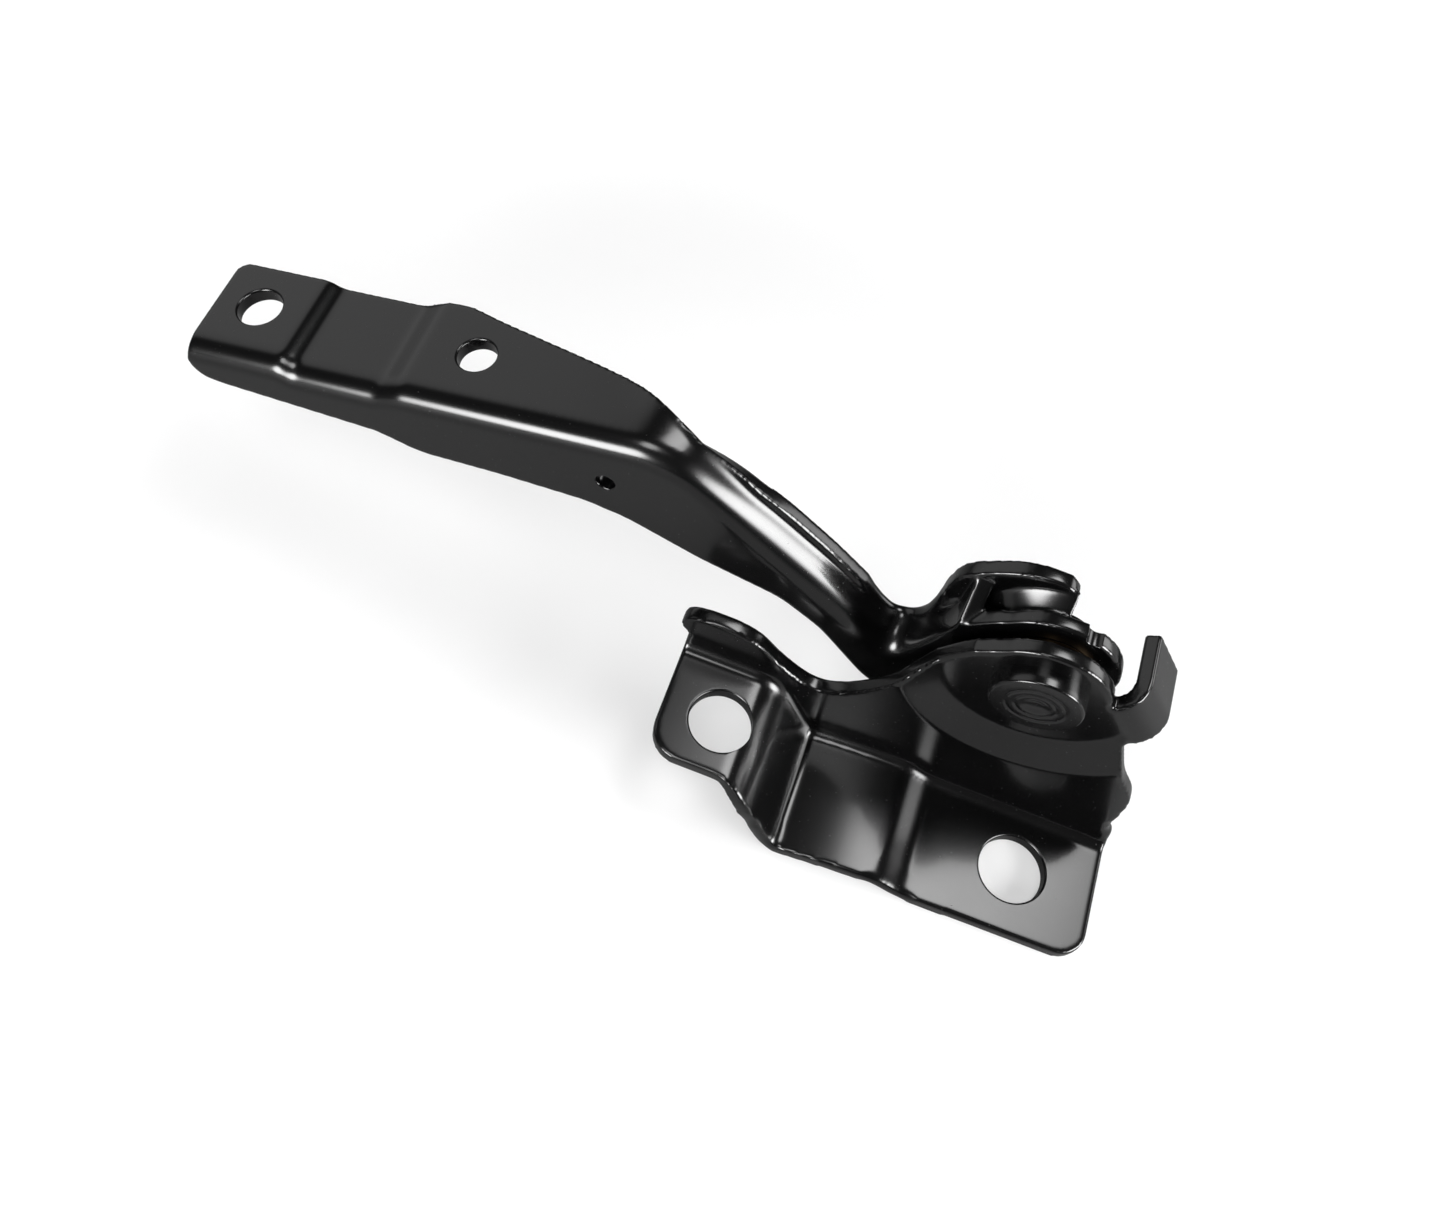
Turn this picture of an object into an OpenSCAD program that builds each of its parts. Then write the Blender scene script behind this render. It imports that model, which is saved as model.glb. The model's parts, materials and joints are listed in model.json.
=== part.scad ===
// Bonnet hinge: a stamped body bracket and a swan-neck bonnet arm on one riveted pivot, in millimetres.
// The origin is the centre of the rear body bolt hole on its mounting face, X runs to the rear, Z is up.

/* [Sheet] */
// Thickness of both stampings
sheet = 3; // [2.5:0.1:3.5]
// Bend radius on the inside of the bracket bend
bend_r = 2.5; // [2:0.1:4]

/* [Pivot] */
// Pivot distance ahead of the rear body hole
pivot_x = -13.5; // [-18:0.5:-8]
// Pivot height above the body mounting face
pivot_z = 45; // [42:0.5:50]
// Radius of the rivet shank
shank_r = 5; // [4:0.1:6]
// Radius of the rivet head
head_r = 8.2; // [7.5:0.1:9]
// Height of the rivet head
head_h = 3.2; // [2.5:0.1:3.5]
// Radial running clearance of the bush on the shank
run_clear = 0.05; // [0.03:0.01:0.1]

/* [Body bracket] */
// Radius of the rear body bolt hole
body_hole_r = 6.5; // [5:0.1:7]
// Radius of the front body bolt hole
front_hole_r = 6; // [5:0.1:6.5]
// Height of the front pad above the rear pad
pad_step = 16; // [12:0.5:18]
// Front bolt hole distance ahead of the rear one
hole_pitch = 62; // [58:0.5:66]
// Face of the upright wall, behind the hole line
wall_y = 12; // [11:0.1:14]
// Radius of the flat floor of the dished ear
dish_in = 17; // [15:0.5:18]
// Radius where the dish meets the flat wall
dish_out = 24; // [22:0.5:26]
// Depth of the dished ear
dish_d = 3; // [2:0.1:4]
// Radius of the bracket ear round the pivot
ear_r = 12.2; // [11:0.1:13]

/* [Stop tab] */
// Width of the stop tab
tab_w = 11.5; // [8:0.1:12]
// Reach of the stop tab behind the bracket ear
tab_len = 12.5; // [10:0.1:13]
// Inside bend radius of the stop tab
tab_bend = 3.2; // [3:0.1:4.5]

/* [Bonnet arm] */
// Gap between the bracket ear and the arm ear
leaf_gap = 2.6; // [2.4:0.1:3.5]
// Slope of the bonnet flange in degrees
flange_deg = 13.3; // [10:0.1:16]
// Depth of the bonnet flange from the arm face
flange_w = 22; // [20:0.1:25]
// Depth of the relief between the bonnet pads
relief_d = 1.5; // [0.8:0.1:2]
// Outside bend radius along the arm
arm_bend = 4.4; // [4:0.1:5]
// Radius of the front bonnet bolt hole
bonnet_a_r = 4.25; // [3.5:0.05:5]
// Radius of the rear bonnet bolt hole
bonnet_b_r = 3.6; // [3.2:0.05:4.5]
// Radius of the arm ear round the pivot
arm_ear_r = 12.6; // [11.5:0.1:13]
// Radius of the drain hole in the arm face
drain_r = 1.8; // [1:0.1:2.5]

/* [Hidden] */
$fn = 96;
// Faces of the stack along the pivot, front to back
ear_y = wall_y + dish_d;
ear_back = ear_y + sheet;
arm_y = ear_back + leaf_gap;
arm_back = arm_y + sheet;
washer_t = 1;
play = 0.3;
flange_t = leaf_gap - washer_t - play;
back_t = 1.5;
tail_h = 2.4;
bush_r = shank_r + run_clear;
bush_or = shank_r + 1.5;
bush_flange_r = bush_or + 1.8;
press_clear = 0.02;
arm_hole_r = bush_or + press_clear;
back_r = bush_or + 2;
// Hood behind the backing washer and the tail, and the trough that clears the washer
hood_y = arm_back + play + back_t + 1.6;
trough_r = back_r + 0.5;
trough_t = 1.6;
// Ends of the bracket and of the arm along X
x_front = -73.4;
x_back = 16.4;
tip_x = -177;
neck_x = -31;
flange_z0 = 42.1;
hole_a_x = -168;
hole_b_x = -125;
bonnet_y = arm_y + 12.4;
// Turn of the stop tab away from the vertical
tab_a = atan2(0.62, 0.78);
// Thinning of each face of the stop tab, which its bend stretches
tab_thin = 0.05;

// Piecewise straight curve with corners rounded over w either side
function soft(x, p, w) =
    (lookup(x - w, p) + lookup(x + w, p)) / 8
    + (lookup(x - w / 2, p) + lookup(x, p) + lookup(x + w / 2, p)) / 4;
// Point on a smooth curve through four points
function catmull(a, b, c, d, t) =
    0.5 * (2 * b + (c - a) * t + (2 * a - 5 * b + 4 * c - d) * t * t + (3 * b - a - 3 * c + d) * t * t * t);
// Smooth open curve through points p with n steps a span
function smooth(p, n) = [
    for (i = [0 : len(p) - 2])
        for (k = [0 : n - 1])
            catmull(p[max(i - 1, 0)], p[i], p[i + 1], p[min(i + 2, len(p) - 1)], k / n),
    p[len(p) - 1]];
// Arc of points round the centre c
function arc(c, r, a0, a1, n) = [
    for (i = [0 : n])
        let (a = a0 + (a1 - a0) * i / n)
        c + r * [cos(a), sin(a)]];
// Evenly spaced stations
function steps(a, b, n) = [for (i = [0 : n]) a + (b - a) * i / n];
// Drop of a rounded corner of radius r at distance d from its end
function corner(d, r) = d >= r ? 0 : r - sqrt(max(0, r * r - (r - d) * (r - d)));

// Top of the bracket flange along X
pad_line = [
    [x_front - 5, sheet + pad_step], [-54.6, sheet + pad_step], [-45, sheet + 0.7], [-33, sheet + 1.4],
    [-24.5, sheet + 1.1], [-19.5, sheet], [x_back + 5, sheet]];
function pad_z(x) = soft(x, pad_line, 1.6);
function pad_k(x) = min(1.7, sqrt(1 + pow((pad_z(x + 0.7) - pad_z(x - 0.7)) / 1.4, 2)));
// Front edge of the bracket flange along X
edge_line = [[x_front - 5, -10.2], [-58, -10], [-53.5, -12.6], [-46, -13.6], [-36, -13.2], [x_back + 5, -12.3]];
function edge_y(x) = soft(x, edge_line, 3) + corner(x - x_front, 6) + corner(x_back - x, 5.5);

// Upper face line of the bonnet flange, crest and neck along X
crest_line = [
    [tip_x - 5, flange_z0 - 5 * tan(flange_deg)], [-90, flange_z0 + 87 * tan(flange_deg)],
    [-83, 61.6], [-76, 57], [-62, 47.2], [-54, 41.7],
    [-45, 34.4], [-37, 28.8], [neck_x - 1, 27.2], [neck_x + 5, 27]];
relief_line = [[-158.6, 0], [-155.6, 1], [-138.4, 1], [-135.4, 0]];
function crest_z(x) = soft(x, crest_line, 3) - relief_d * soft(x, relief_line, 0.8);
function crest_k(x) = min(1.25, sqrt(1 + pow((crest_z(x + 1) - crest_z(x - 1)) / 2, 2)));
// Lower edge of the arm face along X
low_line = [
    [tip_x - 5, 34], [-170, 34.2], [-139, 37.8], [-131, 36.2], [-115, 39], [-99, 41], [-91, 40.4], [-76, 35.9],
    [-60, 32.9], [-51, 27.4], [-40, 16], [-35, 13.4], [neck_x + 5, 13]];
function low_z(x) = soft(x, low_line, 2.4) + corner(x - tip_x, 4.5);
// Depth of the bonnet flange behind the arm face along X
reach_line = [
    [tip_x - 5, flange_w], [-138, flange_w], [-132, flange_w + 1.4], [-124, flange_w - 0.9],
    [-104, 16.4], [-95, 13.8], [-87, 9], [-80, 5.8], [-60, 4.6], [-45, 5.2], [-38, 6.6], [neck_x + 5, 6.8]];
function reach(x) = soft(x, reach_line, 2) - corner(x - tip_x, 2.5);
// Turn of the top bend, and of the lip that stands up again along the neck
turn_line = [[-95, 90], [-72, 62], [neck_x + 5, 62]];
lift_line = [[-95, 3], [-72, 62], [neck_x + 5, 62]];
lift_r_line = [[-95, 20], [-80, 3], [-72, 1.6], [neck_x + 5, 1.6]];
lip_line = [[-95, 0.6], [neck_x + 5, 0.8]];

// Sheet section of the bracket at x: flange from its front edge, bend, foot of the wall
function bracket_path(x) = concat(
    [for (y = [edge_y(x), 0, wall_y - bend_r - 2]) [y, pad_z(x), 90]],
    [for (a = [90 : -15 : 0]) [wall_y - bend_r + bend_r * cos(a), pad_z(x) + bend_r - bend_r * sin(a), a]],
    [[wall_y, pad_z(x) + bend_r + 2.5, 0]]);
// Sheet section of the arm at x: face, top bend, flange, lip
function arm_path(x) =
    let (r = arm_bend, b = soft(x, turn_line, 3), l = min(b, soft(x, lift_line, 3)))
    let (lr = soft(x, lift_r_line, 2), e = soft(x, lip_line, 2), c = b - l)
    let (z0 = crest_z(x) - r * sin(b))
    let (span = reach(x) - r * (1 - cos(b)) - lr * (cos(c) - cos(b)) - e * sin(c))
    let (run = max(0.5, span / sin(b)))
    let (p = [arm_y + r * (1 - cos(b)), z0 + r * sin(b)], q = p + run * [sin(b), cos(b)])
    let (s = q + lr * [cos(c) - cos(b), sin(b) - sin(c)])
    concat(
        [[arm_y, low_z(x), 0], [arm_y, z0 - 1, 0]],
        [for (i = [0 : 5]) [arm_y + r * (1 - cos(b * i / 5)), z0 + r * sin(b * i / 5), b * i / 5]],
        [[(p[0] + q[0]) / 2, (p[1] + q[1]) / 2, b]],
        [for (a = [b, b - l / 3, b - 2 * l / 3, c])
            [q[0] + lr * (cos(a) - cos(b)), q[1] + lr * (sin(b) - sin(a)), a]],
        [[s[0] + e * sin(c), s[1] + e * cos(c), c]]);

// Closed sheet swept along X: stations xs, one section path each in ps, stretch of its upright thickness ks
module sheet_sweep(xs, ps, ks) {
    n = len(ps[0]);
    m = len(xs);
    pts = [
        for (i = [0 : m - 1])
            for (j = [0 : 2 * n - 1])
                let (q = ps[i][j < n ? j : 2 * n - 1 - j], t = j < n ? 0 : sheet)
                [xs[i], q[0] + t * cos(q[2]), q[1] - t * sin(q[2]) * ks[i]]];
    sides = [
        for (i = [0 : m - 2])
            for (j = [0 : 2 * n - 1])
                let (a = i * 2 * n + j, b = i * 2 * n + (j + 1) % (2 * n))
                each [[a, b, a + 2 * n], [b, b + 2 * n, a + 2 * n]]];
    caps = [
        for (j = [0 : n - 2])
            each [
                [j, 2 * n - 1 - j, j + 1], [j + 1, 2 * n - 1 - j, 2 * n - 2 - j],
                [j + (m - 1) * 2 * n, j + 1 + (m - 1) * 2 * n, 2 * n - 1 - j + (m - 1) * 2 * n],
                [j + 1 + (m - 1) * 2 * n, 2 * n - 2 - j + (m - 1) * 2 * n, 2 * n - 1 - j + (m - 1) * 2 * n]]];
    polyhedron(pts, concat(sides, caps), convexity = 10);
}

// Flat plate in the XZ plane from y0 to y1
module plate(p, y0, y1) {
    translate([0, y1, 0]) rotate([90, 0, 0]) linear_extrude(y1 - y0) polygon(p);
}

// Cylinder along Y at the pivot
module pivot_cyl(r, y0, y1) {
    translate([pivot_x, y1, pivot_z]) rotate([90, 0, 0]) cylinder(r = r, h = y1 - y0);
}

// Outline of the bracket wall with its ear, front to back over the top
wall_outline = concat(
    smooth([[-72.8, 23], [-75.2, 26.6], [-73.4, 29.8], [-67, 30.7], [-61, 29.2], [-55.5, 24.4],
        [-50, 20.9], [-46, 20.8], [-41.5, 24.6], [-37, 31.5], [-32.5, 40.5], [-27, 49.5]], 5),
    arc([pivot_x, pivot_z], ear_r, 138, 24, 16),
    [[pivot_x + 12, pivot_z + 2], [pivot_x + 18, pivot_z - 6]],
    smooth([[pivot_x + 18.2, pivot_z - 7.5], [8.4, 30.2], [12.2, 24.4], [13.4, 19], [13.8, 13],
        [15.4, 8.6]], 5),
    [for (x = steps(x_back - 0.6, x_front + 0.6, 40)) [x, pad_z(x) + bend_r + 1.2]]);

// Section of the stop tab: root inside the ear, bend, leg that stands behind it
tab_section = concat(
    [[-5, ear_back - tab_thin], [-5, ear_y + tab_thin]],
    arc([0, ear_back + tab_bend], tab_bend + sheet - tab_thin, -90, 0, 10),
    [[tab_bend + sheet - tab_thin, ear_back + tab_len], [tab_bend + tab_thin, ear_back + tab_len]],
    arc([0, ear_back + tab_bend], tab_bend + tab_thin, 0, -90, 10));

module stop_tab() {
    translate([pivot_x + 11.75, 0, pivot_z + 2.35])
        rotate([0, -tab_a, 0])
            translate([0, 0, -tab_w]) linear_extrude(tab_w) polygon(tab_section);
}

module body_bracket() {
    color([0.05, 0.05, 0.055]) difference() {
        union() {
            sheet_xs = steps(x_front, x_back, 64);
            sheet_sweep(sheet_xs, [for (x = sheet_xs) bracket_path(x)], [for (x = sheet_xs) pad_k(x)]);
            intersection() {
                plate(wall_outline, wall_y - 1, ear_back + 1);
                translate([pivot_x, 0, pivot_z]) rotate([-90, 0, 0]) rotate_extrude()
                    polygon([[0, ear_y], [dish_in, ear_y], [dish_out, wall_y], [90, wall_y],
                        [90, wall_y + sheet], [dish_out + 0.6, wall_y + sheet], [dish_in + 0.6, ear_back],
                        [0, ear_back]]);
            }
            stop_tab();
        }
        translate([0, 0, -10]) cylinder(r = body_hole_r, h = 30);
        translate([-hole_pitch, 0, 0]) cylinder(r = front_hole_r, h = 40);
        pivot_cyl(shank_r + press_clear, ear_y - 5, ear_back + 5);
        // Bend relief at the rear end of the bend
        translate([x_back + 1.4, 40, 9.4]) rotate([90, 0, 0]) cylinder(r = 3.2, h = 34);
    }
}

// Outline of the arm ear, from the neck underneath and round the pivot
ear_outline = concat(
    smooth([[-39, 15.6], [-35, 13.6], [-31, 13.2], [-25, 15.6], [-16, 23], [pivot_x + 7, pivot_z - 11]], 5),
    arc([pivot_x, pivot_z], arm_ear_r, -46, 140, 22),
    smooth([[-25.4, 51.2], [-29.4, 46.4], [-32.4, 38], [-35.4, 29], [-38, 24]], 4));
// Outline of the hood that stands behind the ear and meets the stop tab
hood_outline = concat(
    smooth([[-37, 27.5], [-35.2, 33], [-34, 42], [-33, 50.2], [-30, 54.4], [-24.5, 58.4],
        [-19.5, 59.9], [-16, 59.6], [-14.2, 58], [-13.4, 55.6], [-13.2, 54.2]], 4),
    arc([pivot_x, pivot_z], trough_r, 88, 190, 14),
    [[-27, 35], [-31, 27]]);
// Floor of the trough between the ear and the hood
trough_outline = concat(
    arc([pivot_x, pivot_z], trough_r + trough_t, 86, 178, 12),
    arc([pivot_x, pivot_z], trough_r, 178, 86, 12));
// Cross wall that ties the ear to the hood
web_outline = [
    [-36.4, 26], [-32.9, 36], [-30.2, 45.6], [-30.2, 53.6], [-27.2, 54], [-27.2, 45], [-29.9, 35], [-33.4, 26]];

module bonnet_hole(x, r) {
    translate([x, bonnet_y, flange_z0 + (x - tip_x) * tan(flange_deg)])
        rotate([0, -flange_deg, 0])
            translate([0, 0, -12]) cylinder(r = r, h = 24);
}

// Arm sheet before its holes are cut
module arm_sheet() {
    xs = concat(steps(tip_x, tip_x + 5, 5), steps(tip_x + 7, neck_x, 64));
    sheet_sweep(xs, [for (x = xs) arm_path(x)], [for (x = xs) crest_k(x)]);
    plate(ear_outline, arm_y, arm_back);
    plate(hood_outline, hood_y, hood_y + sheet);
    plate(trough_outline, arm_back - 0.4, hood_y + 0.4);
    difference() {
        plate(web_outline, arm_y + 0.1, hood_y + sheet - 0.1);
        translate([-50, arm_y, pivot_z + 2]) rotate([45, 0, 0]) cube([60, 40, 40]);
    }
}

module bonnet_arm() {
    color([0.06, 0.06, 0.065]) difference() {
        // The zero resize keeps the size and joins the sheet into one body before the holes
        resize([0, 0, 0]) arm_sheet();
        bonnet_hole(hole_a_x, bonnet_a_r);
        bonnet_hole(hole_b_x, bonnet_b_r);
        pivot_cyl(arm_hole_r, arm_y - 2, arm_back + 0.5);
        // Shallow notch in the rim of the arm ear
        translate([pivot_x + 13.2 * cos(71), arm_back + 0.2, pivot_z + 13.2 * sin(71)])
            rotate([90, 0, 0]) cylinder(r = 1.8, h = sheet + 1);
        translate([-95.6, arm_y + 10, 49.6]) rotate([90, 0, 0]) cylinder(r = drain_r, h = 20);
    }
}

module pivot_rivet() {
    color([0.05, 0.05, 0.055]) translate([pivot_x, 0, pivot_z]) rotate([-90, 0, 0]) {
        translate([0, 0, ear_y - head_h]) cylinder(r1 = head_r - 0.5, r2 = head_r, h = 0.5);
        translate([0, 0, ear_y - head_h + 0.5]) cylinder(r = head_r, h = head_h - 0.5);
        translate([0, 0, ear_y - 0.5]) cylinder(r = shank_r, h = arm_back + play + back_t - ear_y + 1);
        translate([0, 0, arm_back + play + back_t])
            cylinder(r1 = shank_r + 2.4, r2 = shank_r + 1.4, h = tail_h);
    }
}

module spacer_washer() {
    color([0.07, 0.07, 0.075]) difference() {
        pivot_cyl(head_r + 1, ear_back, ear_back + washer_t);
        pivot_cyl(shank_r + press_clear, ear_back - 1, ear_back + washer_t + 1);
    }
}

module pivot_bush() {
    color([0.55, 0.4, 0.2]) difference() {
        union() {
            pivot_cyl(bush_or, arm_y - 0.2, arm_back);
            pivot_cyl(bush_flange_r, arm_y - flange_t, arm_y);
        }
        pivot_cyl(bush_r, arm_y - 5, arm_back + 5);
    }
}

module backing_washer() {
    color([0.07, 0.07, 0.075]) difference() {
        pivot_cyl(back_r, arm_back + play, arm_back + play + back_t);
        pivot_cyl(shank_r + press_clear, arm_back, arm_back + play + back_t + 1);
    }
}

body_bracket();
bonnet_arm();
pivot_rivet();
spacer_washer();
pivot_bush();
backing_washer();
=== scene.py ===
import json
import math

import bpy
import numpy as np
from mathutils import Matrix, Vector


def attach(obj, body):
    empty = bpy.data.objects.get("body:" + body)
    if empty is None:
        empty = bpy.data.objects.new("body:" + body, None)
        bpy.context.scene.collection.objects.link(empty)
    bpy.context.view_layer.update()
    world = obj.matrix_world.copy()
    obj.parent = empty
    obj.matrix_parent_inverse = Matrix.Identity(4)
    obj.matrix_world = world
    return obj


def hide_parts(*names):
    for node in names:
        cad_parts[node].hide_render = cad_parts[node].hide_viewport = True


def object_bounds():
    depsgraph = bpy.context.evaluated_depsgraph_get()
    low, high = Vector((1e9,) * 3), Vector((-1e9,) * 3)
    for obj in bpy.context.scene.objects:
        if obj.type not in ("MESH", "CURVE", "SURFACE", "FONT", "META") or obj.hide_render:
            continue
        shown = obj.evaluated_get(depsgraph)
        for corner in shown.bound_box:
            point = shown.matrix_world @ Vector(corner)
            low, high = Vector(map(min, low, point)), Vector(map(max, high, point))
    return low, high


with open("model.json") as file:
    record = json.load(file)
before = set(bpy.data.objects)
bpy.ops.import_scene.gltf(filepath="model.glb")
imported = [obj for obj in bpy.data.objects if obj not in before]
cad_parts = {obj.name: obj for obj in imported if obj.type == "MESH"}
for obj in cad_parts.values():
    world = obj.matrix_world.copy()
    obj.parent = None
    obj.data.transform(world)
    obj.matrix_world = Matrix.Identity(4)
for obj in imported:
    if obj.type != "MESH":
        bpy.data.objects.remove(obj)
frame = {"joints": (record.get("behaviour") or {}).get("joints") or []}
cadLow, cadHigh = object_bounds()
mm = 0.001
print("frame loaded, box in mm:", [round(v / mm, 1) for v in (*cadLow, *cadHigh)])

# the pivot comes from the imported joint, everything else below is in millimetres from the rear body hole
pivot = Vector(frame["joints"][0]["pos_m"]) / mm
pivotX, pivotZ = pivot.x, pivot.z
pivotAt = (pivotX, 0, pivotZ)
alongX, alongY, alongZ = (1, 0, 0), (0, 1, 0), (0, 0, 1)
stack = {
    "sheet": 3.0,        # both pressings
    "wallY": 12.0,       # front of the bracket wall
    "earY": 15.0,        # front of the dished ear
    "armY": 20.6,        # front of the arm
    "hoodY": 27.0,       # front of the hood
}
halfSheet = stack["sheet"] / 2
earBack = stack["earY"] + stack["sheet"]
armBack = stack["armY"] + stack["sheet"]
hoodBack = stack["hoodY"] + stack["sheet"]

fineness = {
    "softSteps": 41, "softReach": 1.7,   # samples across a rounded corner, and how far they reach in widths
    "curveSteps": 8, "turnSteps": 128, "drillSteps": 96, "cornerSteps": 8, "rimSteps": 5,
    "merge": 0.01,
    "voxel": 0.4, "smoothing": 7, "smoothFactor": 0.5,
    "easeFade": 3,                       # full strength in the inner two thirds of an eased spot
    "pressedDeg": 40, "turnedDeg": 50,   # sharpest angle that is shaded smooth
}


# curves and outlines

def softLine(x, points, width):
    # straight line through the points with every corner rounded, smooth enough for gloss
    steps = np.linspace(-1, 1, fineness["softSteps"])
    weights = 1 + np.cos(np.pi * steps)
    reach = fineness["softReach"] * np.asarray(width, float)[..., None]
    px, pv = np.array(points, float).T
    values = np.interp(np.asarray(x, float)[..., None] + reach * steps, px, pv)
    return values @ weights / weights.sum()


def throughPoints(points):
    # smooth open curve through the points
    steps = fineness["curveSteps"]
    p = np.array(points, float)
    out = []
    for i in range(len(p) - 1):
        a, b, c, d = p[max(i - 1, 0)], p[i], p[i + 1], p[min(i + 2, len(p) - 1)]
        for t in np.arange(steps) / steps:
            out.append(0.5 * (2 * b + (c - a) * t + (2 * a - 5 * b + 4 * c - d) * t ** 2
                              + (3 * b - a - 3 * c + d) * t ** 3))
    return [tuple(v) for v in out] + [tuple(p[-1])]


def arcPoints(centre, radius, fromDeg, toDeg, steps):
    angles = np.radians(np.linspace(fromDeg, toDeg, steps + 1))
    return [(centre[0] + radius * math.cos(a), centre[1] + radius * math.sin(a)) for a in angles]


def roundEnd(distance, radius):
    # how far an edge draws back at a distance from its rounded end
    d = np.clip(distance, 0, radius)
    return radius - np.sqrt(radius ** 2 - (radius - d) ** 2)


# modelling by operators

def deselectAll():
    if bpy.context.mode != "OBJECT":
        bpy.ops.object.mode_set(mode="OBJECT")
    bpy.ops.object.select_all(action="DESELECT")


def startPiece(name):
    piece = bpy.context.object
    piece.name = name
    piece.data.name = name
    return piece


def makeActive(piece):
    deselectAll()
    piece.select_set(True)
    bpy.context.view_layer.objects.active = piece


def editAll(piece):
    makeActive(piece)
    bpy.ops.object.mode_set(mode="EDIT")
    bpy.ops.mesh.select_all(action="SELECT")


def tidyMesh(piece):
    editAll(piece)
    bpy.ops.mesh.remove_doubles(threshold=fineness["merge"] * mm)
    bpy.ops.mesh.normals_make_consistent(inside=False)
    bpy.ops.object.mode_set(mode="OBJECT")


def applyModifier(piece, kind, **settings):
    makeActive(piece)
    bpy.ops.object.modifier_add(type=kind)
    modifier = piece.modifiers[-1]
    for key, value in settings.items():
        setattr(modifier, key, value)
    bpy.ops.object.modifier_apply(modifier=modifier.name)


def shapedGrid(name, columns, rows, place):
    # a grid whose points are pulled to place(u, v), with u and v from 0 to 1
    deselectAll()
    bpy.ops.mesh.primitive_grid_add(x_subdivisions=columns, y_subdivisions=rows, size=1)
    piece = startPiece(name)
    uv = np.array([(v.co.x + 0.5, v.co.y + 0.5) for v in piece.data.vertices])
    placed = place(uv[:, 0], uv[:, 1]) * mm
    piece.data.vertices.foreach_set("co", placed.astype(np.float32).ravel())
    piece.data.update()
    tidyMesh(piece)
    return piece


def thicken(piece, side):
    # the sheet grows to one side of the faces, 1 the way they point
    applyModifier(piece, "SOLIDIFY", thickness=stack["sheet"] * mm, offset=side)


def outlinePlate(name, outline, fromY, toY):
    # an outline in X and Z, filled and extruded along Y
    deselectAll()
    bpy.ops.mesh.primitive_circle_add(vertices=len(outline), radius=1, fill_type="NGON")
    piece = startPiece(name)
    for vertex, (x, z) in zip(piece.data.vertices, outline):
        vertex.co = (x * mm, fromY * mm, z * mm)
    editAll(piece)
    bpy.ops.mesh.extrude_region_move(TRANSFORM_OT_translate={"value": (0, (toY - fromY) * mm, 0)})
    bpy.ops.object.mode_set(mode="OBJECT")
    tidyMesh(piece)
    return piece


def openOnAxis(piece):
    # drop the edge between the first and last points, which both lie on the axis
    ends = {0, len(piece.data.vertices) - 1}
    makeActive(piece)
    for vertex in piece.data.vertices:
        vertex.select = False
    for edge in piece.data.edges:
        edge.select = set(edge.vertices) == ends
    bpy.ops.object.mode_set(mode="EDIT")
    bpy.ops.mesh.select_mode(type="EDGE")
    bpy.ops.mesh.delete(type="EDGE_FACE")
    bpy.ops.mesh.select_mode(type="VERT")
    bpy.ops.object.mode_set(mode="OBJECT")


def turned(name, profile, centre, axis, fromDeg=0, sweepDeg=360, steps=fineness["turnSteps"], closed=True):
    # a profile of (radius, height along axis) turned about an axis through centre
    deselectAll()
    bpy.ops.mesh.primitive_circle_add(vertices=len(profile), radius=1, fill_type="NOTHING")
    piece = startPiece(name)
    along = Vector(axis).normalized()
    side = along.cross(Vector(alongX if abs(along.x) < 0.9 else alongZ)).normalized()
    side = Matrix.Rotation(math.radians(fromDeg), 3, along) @ side
    middle = Vector(centre) * mm
    for vertex, (radius, height) in zip(piece.data.vertices, profile):
        vertex.co = middle + side * radius * mm + along * height * mm
    if not closed:
        openOnAxis(piece)
    editAll(piece)
    bpy.ops.mesh.spin(steps=steps, angle=math.radians(-sweepDeg), center=middle, axis=along)
    bpy.ops.object.mode_set(mode="OBJECT")
    if sweepDeg < 360:                   # close both ends of a part turn
        editAll(piece)
        bpy.ops.mesh.select_all(action="DESELECT")
        bpy.ops.mesh.select_non_manifold()
        bpy.ops.mesh.edge_face_add()
        bpy.ops.object.mode_set(mode="OBJECT")
    tidyMesh(piece)
    return piece


def joinPieces(name, parts):
    makeActive(parts[0])
    for part in parts:
        part.select_set(True)
    bpy.ops.object.join()
    return startPiece(name)


def cutWith(piece, cutter, operation="DIFFERENCE"):
    applyModifier(piece, "BOOLEAN", object=cutter, operation=operation, solver="MANIFOLD")
    makeActive(cutter)
    bpy.ops.object.delete()


drill = {"beyond": 3, "flareDeg": 84, "flareSteps": 8, "mouth": 0.4, "mouthGap": 0.02}


def drillHole(piece, name, centre, axis, radius, rim):
    # a drill with flared ends, so that both rims of the hole come out rounded
    far = halfSheet + drill["beyond"]
    angles = np.radians(np.linspace(0, drill["flareDeg"], drill["flareSteps"]))
    flare = [(radius + rim * (1 - math.cos(a)), halfSheet - rim + rim * math.sin(a)) for a in angles]
    wide = flare[-1][0] + drill["mouth"]
    upper = [(0, far), (wide, far), (wide, halfSheet + drill["mouthGap"])] + flare[::-1]
    profile = upper + [(r, -h) for r, h in upper[::-1]]
    cutWith(piece, turned(name, profile, centre, axis, steps=fineness["drillSteps"], closed=False))


def fuse(piece):
    # one skin over everything that was joined, its edges eased as paint and a press leave them
    applyModifier(piece, "REMESH", mode="VOXEL", voxel_size=fineness["voxel"] * mm, adaptivity=0)
    applyModifier(piece, "SMOOTH", factor=fineness["smoothFactor"], iterations=fineness["smoothing"])


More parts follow.
